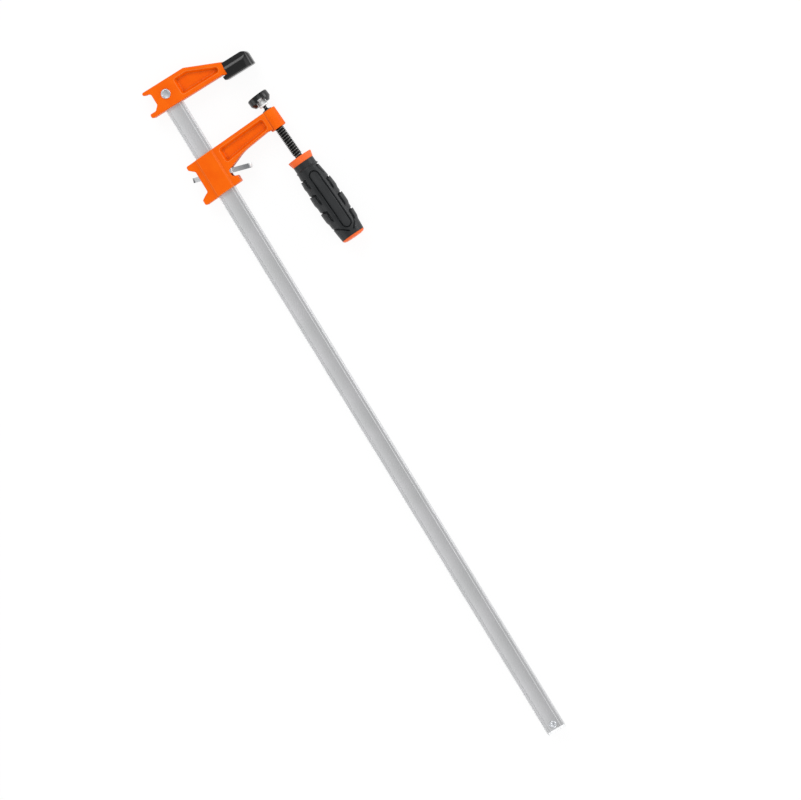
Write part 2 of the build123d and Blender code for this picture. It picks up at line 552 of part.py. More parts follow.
def grip_body(extra):
    """The grip's body of revolution, thicker or thinner by extra."""
    neck_end = FLANGE_HEIGHT + GRIP_NECK_LENGTH
    barrel = Spline(
        (GRIP_FOOT_RADIUS + extra, 0, GRIP_FOOT), (GRIP_SHOULDER_RADIUS + extra, 0, GRIP_SHOULDER),
        (GRIP_BELLY_RADIUS + extra, 0, GRIP_BELLY), (GRIP_END_RADIUS + extra, 0, GRIP_END))
    rest = Polyline(
        barrel @ 1, (HANDLE_CORE_RADIUS, 0, GRIP_END), (HANDLE_CORE_RADIUS, 0, FLANGE_HEIGHT),
        (GRIP_NECK_RADIUS + extra, 0, FLANGE_HEIGHT), (GRIP_NECK_RADIUS + extra, 0, neck_end),
        (GRIP_BEAD_RADIUS + extra, 0, neck_end + GRIP_BEAD_LENGTH), barrel @ 0)
    return revolve(make_face([barrel, rest]), Axis.Z)


def grip_section(points):
    """A flat face in the grip's middle plane from (along, across) points, across towards the jaw tips."""
    return make_face(Polyline(*[(0, -across, along) for along, across in points], close=True))


# Handle grip: raised pads on both flanks, a panel groove and slanted grooves on both faces
grip_solid = grip_body(0)
raised = grip_body(GRIP_RAISE)
grooved = grip_body(-GROOVE_DEPTH)
flank = 2 * GRIP_BELLY_RADIUS
pad_corner = SIDE_LINE + SIDE_PAD_CORNER
for side, spans in ((-1, BAR_SIDE_PADS), (1, TIP_SIDE_PADS)):
    for start, end in spans:
        section = grip_section([
            (start, side * flank), (start, side * pad_corner), (start + SIDE_PAD_SLANT, side * SIDE_LINE),
            (end - SIDE_PAD_SLANT / 2, side * SIDE_LINE), (end, side * pad_corner), (end, side * flank),
        ])
        grip_solid += extrude(section, flank, dir=(1, 0, 0), both=True) & raised

panel_length = PANEL_END - PANEL_START
panel_plane = Plane(origin=(0, 0, (PANEL_START + PANEL_END) / 2), x_dir=(0, 0, 1), z_dir=(1, 0, 0))
panel_ring = SlotOverall(panel_length, PANEL_WIDTH)
panel_ring -= SlotOverall(panel_length - 2 * GROOVE_WIDTH, PANEL_WIDTH - 2 * GROOVE_WIDTH)
for face in (1, -1):
    grip_solid -= extrude(panel_plane * panel_ring, face * flank) - grooved
    for start, end in (SLANT_GROOVE, HOOK_GROOVE):
        groove = grip_section([
            start, (start[0] + GROOVE_WIDTH, start[1]), (end[0] + GROOVE_WIDTH, end[1]), end,
        ])
        grip_solid -= extrude(groove, flank, dir=(face, 0, 0)) - grooved
nodes["handle_grip"] = handle_plane * grip_solid

# End cap: closes the handle
cap_end = GRIP_END + CAP_THICKNESS
cap_shoulder = CAP_RADIUS - CAP_EDGE
nodes["handle_end_cap"] = handle_plane * spun([
    (0, spigot_start), (SPIGOT_RADIUS, spigot_start), (SPIGOT_RADIUS, GRIP_END), (CAP_RADIUS, GRIP_END),
    (CAP_RADIUS, cap_end - CAP_EDGE - CAP_DOME), (cap_shoulder, cap_end - CAP_DOME),
    (cap_shoulder - 2 * CAP_EDGE, cap_end), (0, cap_end),
])

os.makedirs("parts", exist_ok=True)
for name, solid in nodes.items():
    export_step(Pos(0, -JAW_AXIS, 0) * solid, f"parts/{name}.step")
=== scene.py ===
"""Bar clamp on a pale floor. Sizes are in millimetres until they go into a mesh, which is in metres."""

import math

import bmesh
import bpy
import numpy as np
from mathutils import Matrix, Vector
from mathutils.geometry import interpolate_bezier


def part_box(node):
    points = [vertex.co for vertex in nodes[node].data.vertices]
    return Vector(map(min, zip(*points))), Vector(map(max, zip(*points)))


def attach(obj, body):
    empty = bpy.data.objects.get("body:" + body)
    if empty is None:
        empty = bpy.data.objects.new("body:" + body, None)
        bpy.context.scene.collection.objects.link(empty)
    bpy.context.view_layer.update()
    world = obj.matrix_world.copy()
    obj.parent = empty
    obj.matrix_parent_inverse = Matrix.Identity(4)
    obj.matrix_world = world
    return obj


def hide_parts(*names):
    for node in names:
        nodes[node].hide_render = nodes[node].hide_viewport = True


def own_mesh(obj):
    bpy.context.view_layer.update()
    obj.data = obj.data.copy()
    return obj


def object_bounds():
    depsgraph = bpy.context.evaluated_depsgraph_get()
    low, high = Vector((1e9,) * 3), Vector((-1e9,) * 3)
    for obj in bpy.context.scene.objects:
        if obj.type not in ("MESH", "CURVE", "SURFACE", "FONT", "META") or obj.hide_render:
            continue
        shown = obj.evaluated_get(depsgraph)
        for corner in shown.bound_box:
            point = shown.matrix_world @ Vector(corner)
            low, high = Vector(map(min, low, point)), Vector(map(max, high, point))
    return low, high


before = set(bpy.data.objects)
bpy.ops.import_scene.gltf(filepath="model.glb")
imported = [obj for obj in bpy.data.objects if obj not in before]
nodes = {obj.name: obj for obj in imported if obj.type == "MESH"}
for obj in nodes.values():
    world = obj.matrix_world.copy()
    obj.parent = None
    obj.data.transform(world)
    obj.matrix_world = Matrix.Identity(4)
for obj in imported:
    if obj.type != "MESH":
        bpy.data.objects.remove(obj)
cad_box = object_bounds()

MM = 0.001
MERGE = 0.002
NEAR = 0.1
UP = Vector((0.0, 0.0, 1.0))

# Where the pieces sit
BAR_LINE = -71.3
BALL = Vector((34.9, 1.0, 0.0))
SCREW_LEAN = math.radians(3.2)
PAD_LEAN = math.radians(6.0)
PAD_TURN = math.radians(8.0)
HANDLE_START = 62.2
HANDLE_ROLL = math.radians(15.0)
PLATE_REAR = -94.0
LEVER_TIP = -36.0

# Sockets of a Mix node that works on colours
MIX_SHARE = 0
MIX_FIRST = 6
MIX_SECOND = 7
MIX_RESULT = 2


def colour(hex_value):
    """Linear RGBA from an sRGB hex value."""
    channels = [int(hex_value[i:i + 2], 16) / 255 for i in (1, 3, 5)]
    linear = [c / 12.92 if c <= 0.04045 else ((c + 0.055) / 1.055) ** 2.4 for c in channels]
    return (*linear, 1.0)


def grey(value):
    """A colour that carries one number."""
    return (value, value, value, 1.0)


def per_metre(size_mm):
    """Pattern scale at which one feature of a noise measures size_mm."""
    return 1.0 / (size_mm * MM)


def add(tree, kind, inputs=None, stops=(), **settings):
    """Adds a node. An input is a value or the socket that feeds it; stops are a ramp's places and colours."""
    made = tree.nodes.new("ShaderNode" + kind)
    for name, value in settings.items():
        setattr(made, name, value)
    for socket, value in (inputs or {}).items():
        if isinstance(value, bpy.types.NodeSocket):
            tree.links.new(value, made.inputs[socket])
        else:
            made.inputs[socket].default_value = value
    for i, (position, shade) in enumerate(stops):
        ramp = made.color_ramp.elements
        stop = ramp[i] if i < 2 else ramp.new(position)
        stop.position = position
        stop.color = shade
    return made


def new_material(name):
    """An empty node material, and the Object coordinates that its patterns read."""
    made = bpy.data.materials.new(name)
    made.use_nodes = True
    tree = made.node_tree
    tree.nodes.clear()
    return made, tree, add(tree, "TexCoord").outputs["Object"]


def satin_zinc_bar():
    """Cold-drawn steel with satin zinc plating: faint draw lines along the bar and a soft cloudy sheen."""
    made, tree, place = new_material("satin_zinc_plated_steel")
    drawn = add(tree, "Mapping", {"Vector": place, "Scale": (0.02, 1.0, 1.0)}).outputs["Vector"]
    lines = add(tree, "TexNoise", {"Vector": drawn, "Scale": per_metre(1.1), "Detail": 3.0}).outputs["Fac"]
    clouds = add(tree, "TexNoise", {"Vector": place, "Scale": per_metre(28.0), "Detail": 3.0}).outputs["Fac"]
    sheen = add(tree, "ValToRGB", {"Fac": clouds}, [(0.35, colour("#dedfe0")), (0.65, colour("#e3e3e5"))])
    streak = add(tree, "ValToRGB", {"Fac": lines}, [(0.5, grey(0.0)), (0.75, grey(0.45))])
    tint = add(tree, "Mix", {
        MIX_SHARE: streak.outputs["Color"], MIX_FIRST: sheen.outputs["Color"], MIX_SECOND: colour("#d0d1d2")},
        data_type="RGBA")
    rough = add(tree, "ValToRGB", {"Fac": lines}, [(0.3, grey(0.37)), (0.7, grey(0.43))])
    bump = add(tree, "Bump", {"Height": lines, "Strength": 0.05, "Distance": 0.02 * MM})
    shader = add(tree, "BsdfPrincipled", {
        "Base Color": tint.outputs[MIX_RESULT], "Metallic": 1.0, "Roughness": rough.outputs["Color"],
        "Normal": bump.outputs["Normal"]})
    add(tree, "OutputMaterial", {"Surface": shader.outputs["BSDF"]})
    return made


def plated_steel(name, light, dark, grain_mm, roughness, metallic=1.0):
    """Zinc-plated turned or drawn steel: a bright skin with a fine cloudy grain."""
    made, tree, place = new_material(name)
    grain = add(tree, "TexNoise", {
        "Vector": place, "Scale": per_metre(grain_mm), "Detail": 5.0}).outputs["Fac"]
    tint = add(tree, "ValToRGB", {"Fac": grain}, [(0.35, colour(dark)), (0.68, colour(light))])
    rough = add(tree, "ValToRGB", {"Fac": grain}, [
        (0.3, grey(roughness + 0.1)), (0.7, grey(roughness - 0.04))])
    bump = add(tree, "Bump", {"Height": grain, "Strength": 0.12, "Distance": 0.03 * MM})
    shader = add(tree, "BsdfPrincipled", {
        "Base Color": tint.outputs["Color"], "Metallic": metallic, "Roughness": rough.outputs["Color"],
        "Normal": bump.outputs["Normal"]})
    add(tree, "OutputMaterial", {"Surface": shader.outputs["BSDF"]})
    return made


def lever_steel():
    """Zinc-plated pressed steel of the clutch plates: a fine cloudy grain on a bright skin.

    The skin is bright at the rear, darker at the cut end and darker towards the lever's tip, whose
    rounded corners carry a painted highlight in white.
    """
    made, tree, place = new_material("zinc_plated_pressed_steel")
    length = LEVER_TIP - PLATE_REAR
    across_bar = add(tree, "SeparateXYZ", {"Vector": place}).outputs["Y"]
    reach = add(tree, "Math", {
        0: across_bar, 1: per_metre(length), 2: -PLATE_REAR / length}, operation="MULTIPLY_ADD")
    # Painted highlight: the white at the tip's end stands for light on its rounded corners.
    skin = add(tree, "ValToRGB", {"Fac": reach.outputs["Value"]}, [
        (0.03, colour("#5e5f61")), (0.055, colour("#fafafb")), (0.45, colour("#fafafb")),
        (0.93, colour("#97989b")), (0.965, colour("#ffffff"))])
    grain = add(tree, "TexNoise", {"Vector": place, "Scale": per_metre(1.4), "Detail": 5.0}).outputs["Fac"]
    cloud = add(tree, "ValToRGB", {"Fac": grain}, [(0.35, grey(0.78)), (0.68, grey(1.0))])
    tint = add(tree, "Mix", {
        MIX_SHARE: 1.0, MIX_FIRST: skin.outputs["Color"], MIX_SECOND: cloud.outputs["Color"]},
        data_type="RGBA", blend_type="MULTIPLY")
    rough = add(tree, "ValToRGB", {"Fac": grain}, [(0.3, grey(0.46)), (0.7, grey(0.32))])
    bump = add(tree, "Bump", {"Height": grain, "Strength": 0.12, "Distance": 0.03 * MM})
    shader = add(tree, "BsdfPrincipled", {
        "Base Color": tint.outputs[MIX_RESULT], "Metallic": 1.0, "Roughness": rough.outputs["Color"],
        "Normal": bump.outputs["Normal"]})
    add(tree, "OutputMaterial", {"Surface": shader.outputs["BSDF"]})
    return made


def powder_coat():
    """Orange powder coat on cast iron: satin gloss and the ripple of baked powder.

    The coat carries a painted highlight, a paler orange, on its open edges and painted shade, a deeper
    orange, in the corners of the recesses.
    """
    made, tree, place = new_material("orange_powder_coat_on_cast_iron")
    ripple = add(tree, "TexNoise", {"Vector": place, "Scale": per_metre(1.6), "Detail": 2.0}).outputs["Fac"]
    depth = add(tree, "TexNoise", {"Vector": place, "Scale": per_metre(14.0), "Detail": 3.0}).outputs["Fac"]
    orange = add(tree, "ValToRGB", {"Fac": depth}, [(0.3, colour("#f46000")), (0.7, colour("#fa6b00"))])
    # Painted shade: a deeper orange where occlusion finds the corners of the recesses.
    sky = add(tree, "AmbientOcclusion", {"Distance": 4.0 * MM}, samples=8, only_local=True).outputs["AO"]
    corner = add(tree, "ValToRGB", {"Fac": sky}, [(0.45, grey(0.9)), (0.95, grey(0.0))])
    corner_shaded = add(tree, "Mix", {
        MIX_SHARE: corner.outputs["Color"], MIX_FIRST: orange.outputs["Color"],
        MIX_SECOND: colour("#b84000")}, data_type="RGBA")
    # Painted highlight: a paler orange on edges that the bevel normal finds, where they lie in the open.
    rounded = add(tree, "Bevel", {"Radius": 1.3 * MM}, samples=8).outputs["Normal"]
    flat = add(tree, "NewGeometry").outputs["Normal"]
    turned = add(tree, "VectorMath", {0: rounded, 1: flat}, operation="DOT_PRODUCT").outputs["Value"]
    edge = add(tree, "ValToRGB", {"Fac": turned}, [(0.84, grey(0.85)), (0.998, grey(0.0))])
    in_the_open = add(tree, "ValToRGB", {"Fac": sky}, [(0.65, grey(0.0)), (0.88, grey(1.0))])
    edge_highlight = add(tree, "Math", {
        0: edge.outputs["Color"], 1: in_the_open.outputs["Color"]}, operation="MULTIPLY")
    tint = add(tree, "Mix", {
        MIX_SHARE: edge_highlight.outputs["Value"], MIX_FIRST: corner_shaded.outputs[MIX_RESULT],
        MIX_SECOND: colour("#ffa356")}, data_type="RGBA")
    rough = add(tree, "ValToRGB", {"Fac": depth}, [(0.3, grey(0.36)), (0.7, grey(0.46))])
    bump = add(tree, "Bump", {"Height": ripple, "Strength": 0.22, "Distance": 0.08 * MM, "Normal": rounded})
    shader = add(tree, "BsdfPrincipled", {
        "Base Color": tint.outputs[MIX_RESULT], "Roughness": rough.outputs["Color"], "IOR": 1.5,
        "Specular IOR Level": 0.1, "Normal": bump.outputs["Normal"]})
    add(tree, "OutputMaterial", {"Surface": shader.outputs["BSDF"]})
    return made


def moulded_plastic(name, dark, light, grain_mm, roughness, depth, gloss):
    """Moulded plastic: even colour with faint flow clouds and the fine spark texture of the mould."""
    made, tree, place = new_material(name)
    spark = add(tree, "TexNoise", {
        "Vector": place, "Scale": per_metre(grain_mm), "Detail": 3.0}).outputs["Fac"]
    flow = add(tree, "TexNoise", {"Vector": place, "Scale": per_metre(11.0), "Detail": 2.0}).outputs["Fac"]
    tint = add(tree, "ValToRGB", {"Fac": flow}, [(0.3, colour(dark)), (0.7, colour(light))])
    rough = add(tree, "ValToRGB", {"Fac": spark}, [
        (0.3, grey(roughness + 0.07)), (0.7, grey(roughness - 0.05))])
    bump = add(tree, "Bump", {"Height": spark, "Strength": 0.3, "Distance": depth * MM})
    shader = add(tree, "BsdfPrincipled", {
        "Base Color": tint.outputs["Color"], "Roughness": rough.outputs["Color"], "IOR": 1.5,
        "Specular IOR Level": gloss, "Normal": bump.outputs["Normal"]})
    add(tree, "OutputMaterial", {"Surface": shader.outputs["BSDF"]})
    return made


def black_oxide():
    """Black-oxided steel screw: dark, oily, half gloss, with brighter worn patches.

    Bright lines of painted highlight wind round the screw, standing for glints on the thread. The real
    thread is too fine to show in the picture, so these lines wind at nearly twice its pitch.
    """
    made, tree, place = new_material("black_oxide_steel")
    line_spacing = 2.7
    wear = add(tree, "TexNoise", {"Vector": place, "Scale": per_metre(2.2), "Detail": 5.0}).outputs["Fac"]
    oiled = add(tree, "ValToRGB", {"Fac": wear}, [(0.45, colour("#0e0e0f")), (0.8, colour("#1f1f1e"))])
    on_axis = add(tree, "Mapping", {
        "Vector": place, "Location": BALL * MM, "Rotation": (0.0, 0.0, SCREW_LEAN)}, vector_type="TEXTURE")
    part = add(tree, "SeparateXYZ", {"Vector": on_axis.outputs["Vector"]})
    round_axis = add(tree, "Math", {0: part.outputs["Y"], 1: part.outputs["Z"]}, operation="ARCTAN2")
    winding = add(tree, "Math", {
        0: part.outputs["X"], 1: math.tau * per_metre(line_spacing), 2: round_axis.outputs["Value"]},
        operation="MULTIPLY_ADD")
    line = add(tree, "Math", {0: winding.outputs["Value"]}, operation="SINE")
    # Painted highlight: the helix of bright lines stands for glints on the thread's crests.
    thread_highlight = add(tree, "ValToRGB", {"Fac": line.outputs["Value"]}, [(0.4, grey(0.0)), (1.0, grey(0.58))])
    tint = add(tree, "Mix", {
        MIX_SHARE: thread_highlight.outputs["Color"], MIX_FIRST: oiled.outputs["Color"], MIX_SECOND: colour("#9c9b99")},
        data_type="RGBA")
    rough = add(tree, "ValToRGB", {"Fac": wear}, [(0.4, grey(0.24)), (0.8, grey(0.17))])
    shader = add(tree, "BsdfPrincipled", {
        "Base Color": tint.outputs[MIX_RESULT], "Metallic": 0.85, "Roughness": rough.outputs["Color"]})
    add(tree, "OutputMaterial", {"Surface": shader.outputs["BSDF"]})
    return made


def studio_paper():
    """White matt paper with a faint tooth; the camera and shiny pieces see it as white, under the shadow."""
    made, tree, place = new_material("white_studio_paper")
    white_level = 1.02
    white_share = 0.9
    tooth = add(tree, "TexNoise", {"Vector": place, "Scale": per_metre(2.0), "Detail": 2.0}).outputs["Fac"]
    white = add(tree, "ValToRGB", {"Fac": tooth}, [(0.3, grey(0.90)), (0.7, grey(0.93))])
    matt = add(tree, "BsdfDiffuse", {"Color": white.outputs["Color"]})
    glow = add(tree, "Emission", {"Color": grey(1.0), "Strength": white_level})
    rays = add(tree, "LightPath").outputs
    seen = add(tree, "Math", {0: rays["Is Camera Ray"], 1: rays["Is Glossy Ray"]}, operation="MAXIMUM")
    seen = add(tree, "Math", {0: seen.outputs["Value"], 1: rays["Is Transmission Ray"]}, operation="MAXIMUM")
    share = add(tree, "Math", {0: seen.outputs["Value"], 1: white_share}, operation="MULTIPLY")
    both = add(tree, "MixShader", {
        0: share.outputs["Value"], 1: matt.outputs["BSDF"], 2: glow.outputs["Emission"]})
    add(tree, "OutputMaterial", {"Surface": both.outputs["Shader"]})
    return made


def dress(piece, material):
    """Gives every face of a piece that one material."""
    piece.data.materials.clear()
    piece.data.materials.append(material)


coat = powder_coat()
pad_plastic = moulded_plastic("black_nylon_moulding", "#0d0e0f", "#121314", 0.9, 0.2, 0.03, 0.5)
grip_rubber = moulded_plastic("charcoal_elastomer_overmould", "#1d1f21", "#242628", 0.8, 0.42, 0.06, 0.36)
handle_plastic = moulded_plastic("orange_polypropylene_moulding", "#f8662a", "#fb7234", 1.1, 0.42, 0.04, 0.25)
plate_steel = lever_steel()
rivet_steel = plated_steel("zinc_plated_rivet_steel", "#e2e4e8", "#c3c7cd", 1.0, 0.34)
spring_steel = plated_steel("bright_spring_steel", "#a8aaad", "#85878a", 0.8, 0.3)
stop_steel = plated_steel("zinc_plated_stop_steel", "#eceef1", "#dcdfe3", 0.8, 0.34)
socket_zinc = plated_steel("white_zinc_plate", "#fdfdfd", "#f6f7f7", 6.0, 0.3, 0.2)
screw_black = black_oxide()
bar_zinc = satin_zinc_bar()
FINISHES = {
    "bar": bar_zinc, "bar_end_stop": stop_steel, "fixed_head": coat, "fixed_head_rivet": rivet_steel,
    "fixed_jaw_pad": pad_plastic, "sliding_head": coat, "clutch_plate_1": plate_steel,
    "clutch_plate_2": plate_steel, "clutch_spring": spring_steel, "spindle": screw_black,
    "spindle_stop_washer": screw_black, "swivel_socket": socket_zinc, "swivel_pad": pad_plastic,
    "handle_core": handle_plastic, "handle_grip": grip_rubber, "handle_end_cap": handle_plastic,
}
for node_name, finish in FINISHES.items():
    dress(nodes[node_name], finish)


def work_on(piece):
    """Selects one piece alone and makes it the active one."""
    bpy.ops.object.select_all(action="DESELECT")
    piece.select_set(True)
    bpy.context.view_layer.objects.active = piece


def start_from(primitive, name, **sizes):
    """Adds a primitive with nothing else selected and opens it for editing."""
    bpy.ops.object.select_all(action="DESELECT")
    primitive(**sizes)
    piece = bpy.context.object
    piece.name = name
    piece.data.name = name
    bpy.ops.object.transform_apply(location=True, rotation=True, scale=True)
    bpy.ops.object.mode_set(mode="EDIT")
    bpy.ops.mesh.select_mode(type="VERT")
    bpy.ops.mesh.select_all(action="SELECT")
    return piece


def draw_line(name, points):
    """A line of edges through the points, drawn by extruding one vertex."""
    piece = start_from(bpy.ops.mesh.primitive_plane_add, name, size=MM)
    bpy.ops.mesh.merge(type="CENTER")
    bpy.ops.transform.translate(value=Vector(points[0]) * MM)
    for here, there in zip(points, points[1:]):
        step = (Vector(there) - Vector(here)) * MM
        bpy.ops.mesh.extrude_vertices_move(TRANSFORM_OT_translate={"value": step})
    bpy.ops.mesh.select_all(action="SELECT")
    return piece


def block(name, low, high):
    """A block between two corners, open for editing."""
    low = Vector(low)
    high = Vector(high)
    middle = (low + high) / 2
    return start_from(
        bpy.ops.mesh.primitive_cube_add, name, size=1.0, location=middle * MM, scale=(high - low) * MM)


def pull(x, y, z):
    """Extrudes what is selected."""
    bpy.ops.mesh.extrude_region_move(TRANSFORM_OT_translate={"value": Vector((x, y, z)) * MM})


def close_mesh():
    """Merges doubles and turns all faces outwards, then leaves edit mode."""
    bpy.ops.mesh.select_all(action="SELECT")
    bpy.ops.mesh.remove_doubles(threshold=MERGE * MM)
    bpy.ops.mesh.normals_make_consistent(inside=False)
    bpy.ops.object.mode_set(mode="OBJECT")


def select(kind, wanted):
    """Selects the points, edges or faces whose corners all pass a test on their place in millimetres."""
    bpy.ops.mesh.select_mode(type=kind)
    bpy.ops.mesh.select_all(action="DESELECT")
    mesh = bmesh.from_edit_mesh(bpy.context.object.data)
    for part in {"VERT": mesh.verts, "EDGE": mesh.edges, "FACE": mesh.faces}[kind]:
        corners = [part] if kind == "VERT" else part.verts
        part.select_set(all(wanted(corner.co / MM) for corner in corners))
    bmesh.update_edit_mesh(bpy.context.object.data)


def turn_on_lathe(name, profile, steps):
    """A turned piece about Z from (radius, height) points."""
    piece = draw_line(name, [(radius, 0.0, height) for radius, height in profile])
    bpy.ops.mesh.spin(steps=steps, angle=math.tau, center=(0.0, 0.0, 0.0), axis=UP)
    close_mesh()
    return piece


def apply_modifier(piece, kind, **settings):
    """Adds a modifier with its settings and applies it."""
    work_on(piece)
    made = piece.modifiers.new(kind.lower(), kind)
    for name, value in settings.items():
        setattr(made, name, value)
    bpy.ops.object.modifier_apply(modifier=made.name)


def round_edges(piece, width, segments=3, sharper_than=28.0):
    """Rounds every edge that is sharper than an angle."""
    apply_modifier(
        piece, "BEVEL", width=width * MM, segments=segments, limit_method="ANGLE",
        angle_limit=math.radians(sharper_than), use_clamp_overlap=True)


def combine(piece, tool, operation):
    """Cuts the tool's shape out of a piece, or keeps what both share, and throws the tool away."""
    apply_modifier(piece, "BOOLEAN", operation=operation, object=tool, solver="EXACT")
    bpy.data.objects.remove(tool)


def copy_of(node):
    """A merged copy of a CAD node, to cut with."""
    made = node.copy()
    made.data = node.data.copy()
    bpy.context.scene.collection.objects.link(made)
    made.parent = None
    work_on(made)
    bpy.ops.object.mode_set(mode="EDIT")
    close_mesh()
    return made


def fit(piece, place, body, finish, node, smooth=32.0):
    """Sets a finished piece in its place, where it stands for a CAD node, and gives it its finish."""
    work_on(piece)
    piece.matrix_world = place
    bpy.ops.object.transform_apply(location=True, rotation=True, scale=True)
    bpy.ops.object.shade_smooth_by_angle(angle=math.radians(smooth))
    dress(piece, finish)
    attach(piece, body)
    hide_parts(node)


def axes(origin, x_dir, z_dir):
    """Matrix of a local frame whose Z is the axis of a turned piece."""
    turn = Matrix((x_dir, z_dir.cross(x_dir), z_dir)).transposed().to_4x4()
    return Matrix.Translation(origin * MM) @ turn


def leaning(lean):
    """The axis of a piece that leans from the bar's direction, and the direction to its side."""
    return Vector((math.cos(lean), math.sin(lean), 0.0)), Vector((-math.sin(lean), math.cos(lean), 0.0))


in_place = Matrix.Identity(4)
screw_dir, screw_side = leaning(SCREW_LEAN)
pad_dir, pad_side = leaning(PAD_LEAN)
pad_frame = axes(BALL, UP * math.cos(PAD_TURN) + pad_side * math.sin(PAD_TURN), pad_dir)
handle_up = UP * math.cos(HANDLE_ROLL) + screw_side * math.sin(HANDLE_ROLL)
handle_frame = axes(BALL + screw_dir * HANDLE_START, handle_up, screw_dir)

# Bar: rolled flat with sloping edges, a flat lip inside each edge and a hollow face between the lips
BAR_HALF = 9.3
BAR_SIDE = 2.95
BAR_TOP = 3.5
BAR_START = -27.8
BAR_END = 685.0
END_BEVEL = 2.6
END_WIDTH_SHARE = 0.93
END_HEIGHT_SHARE = 0.35
EDGE_INSIDE = 8.4
LIP_INSIDE = 8.2
CREASE = 6.3
CREASE_DEPTH = 0.12
HOLLOW_START = 5.8
HOLLOW_DEPTH = 0.22
HOLLOW_STEPS = 12
BAR_SMOOTH = 12.0
edge_line = [
    (BAR_HALF, BAR_SIDE), (EDGE_INSIDE, BAR_TOP), (LIP_INSIDE, BAR_TOP), (CREASE, BAR_TOP - CREASE_DEPTH)]
hollow = []
for i in range(HOLLOW_STEPS + 1):
    y = HOLLOW_START - 2 * HOLLOW_START * i / HOLLOW_STEPS
    hollow.append((y, BAR_TOP - HOLLOW_DEPTH * (1 - (y / HOLLOW_START) ** 2)))
top_line = edge_line + hollow + [(-y, z) for y, z in reversed(edge_line)]
under_line = [(-y, -z) for y, z in top_line]
section = top_line + under_line + top_line[:1]
bar = draw_line("rolled_bar", [(BAR_START, BAR_LINE + y, z) for y, z in section])
bpy.ops.mesh.remove_doubles(threshold=MERGE * MM)
bpy.ops.mesh.edge_face_add()
pull(BAR_END - END_BEVEL - BAR_START, 0.0, 0.0)
pull(END_BEVEL, 0.0, 0.0)
bpy.ops.transform.resize(
    value=(1.0, END_WIDTH_SHARE, END_HEIGHT_SHARE), center_override=(BAR_END * MM, BAR_LINE * MM, 0.0))
close_mesh()
fit(bar, in_place, "bar", bar_zinc, "bar", BAR_SMOOTH)

# Pins through the bar
PIN_EDGE = 0.5
PIN_ROUND = 0.18
PIN_STEPS = 48


def set_pin(name, finish, node, x, shank, head, seat, rise, dimple, depth):
    """A pin with a head on both sides, each with the dimple where it was set."""
    top = seat + rise
    upper = [
        (shank, 0.0), (shank, seat), (head, seat), (head, top - PIN_EDGE), (head - PIN_EDGE, top),
        (dimple + depth, top), (dimple, top - depth), (0.0, top - depth)]
    lower = [(radius, -height) for radius, height in reversed(upper)]
    pin = turn_on_lathe(name, lower + upper[1:], PIN_STEPS)
    round_edges(pin, PIN_ROUND, 2)
    fit(pin, Matrix.Translation(Vector((x, BAR_LINE, 0.0)) * MM), "bar", finish, node)


set_pin(
    "head_rivet", rivet_steel, "fixed_head_rivet",
    x=-19.5, shank=3.5, head=4.75, seat=8.6, rise=1.0, dimple=3.3, depth=0.45)
set_pin(
    "end_stop_pin", stop_steel, "bar_end_stop",
    x=677.6, shank=2.0, head=3.5, seat=3.5, rise=1.6, dimple=0.9, depth=1.2)

# Fixed jaw pad: a moulded cap with sloping upper edges, a rounded tip and a lip hooked under the arm
PAD_TOP = -16.4
PAD_ROOT = -11.4
PAD_TIP = 15.2
PAD_HALF = 9.5
PAD_TIP_ROUND = 7.3
PAD_SLOPE = 6.0
PAD_SLOPE_IN = 4.0
PAD_RIDGE = 2.0
PAD_FOOT = 1.0
PAD_EDGE_ROUND = 0.3
PAD_ROUND_FROM = 30.0
PAD_SMOOTH = 20.0
LIP_TOP = -4.4
LIP_REACH = 5.0
LIP_ROUND = 2.0
LIP_STEPS = 4
CLEAR = 5.0
ROUND_STEPS = 10
beyond_root = PAD_ROOT - 2 * CLEAR
jaw_pad = block("jaw_pad_cap", (PAD_TOP, PAD_ROOT, -PAD_HALF), (0.0, PAD_TIP, PAD_HALF))
bpy.ops.mesh.bisect(plane_co=(LIP_TOP * MM, 0.0, 0.0), plane_no=(1.0, 0.0, 0.0))
select("FACE", lambda at: at.y < PAD_ROOT + NEAR and at.x > LIP_TOP - NEAR)
pull(0.0, -LIP_REACH, 0.0)
select("EDGE", lambda at: at.y > PAD_TIP - NEAR and at.x < PAD_TOP + NEAR)
bpy.ops.mesh.bevel(offset=PAD_TIP_ROUND * MM, segments=ROUND_STEPS)
select("EDGE", lambda at: at.y < PAD_ROOT - LIP_REACH + NEAR and at.x > -NEAR)
bpy.ops.mesh.bevel(offset=LIP_ROUND * MM, segments=LIP_STEPS)
close_mesh()
tip_plan = block("tip_plan", (PAD_TOP - CLEAR, beyond_root, -PAD_HALF), (CLEAR, PAD_TIP, PAD_HALF))
for side in (-1, 1):
    select("EDGE", lambda at: at.y > PAD_TIP - NEAR and at.z * side > PAD_HALF - NEAR)
    bpy.ops.mesh.bevel(offset=PAD_TIP_ROUND * MM, segments=ROUND_STEPS)
close_mesh()
combine(jaw_pad, tip_plan, "INTERSECT")
half_line = [
    (PAD_TOP, PAD_HALF - PAD_SLOPE_IN), (PAD_TOP + PAD_SLOPE, PAD_HALF), (-PAD_FOOT, PAD_HALF),
    (0.0, PAD_HALF - PAD_FOOT)]
whole_line = half_line + [(x, -z) for x, z in reversed(half_line)]
top_slopes = draw_line("top_slopes", [(x, beyond_root, z) for x, z in whole_line])
bpy.ops.mesh.edge_face_add()
select("VERT", lambda at: abs(at.x - PAD_TOP - PAD_SLOPE) < NEAR)
bpy.ops.mesh.bevel(offset=PAD_RIDGE * MM, segments=ROUND_STEPS, affect="VERTICES")
bpy.ops.mesh.select_all(action="SELECT")
pull(0.0, PAD_TIP + CLEAR - beyond_root, 0.0)
close_mesh()
combine(jaw_pad, top_slopes, "INTERSECT")
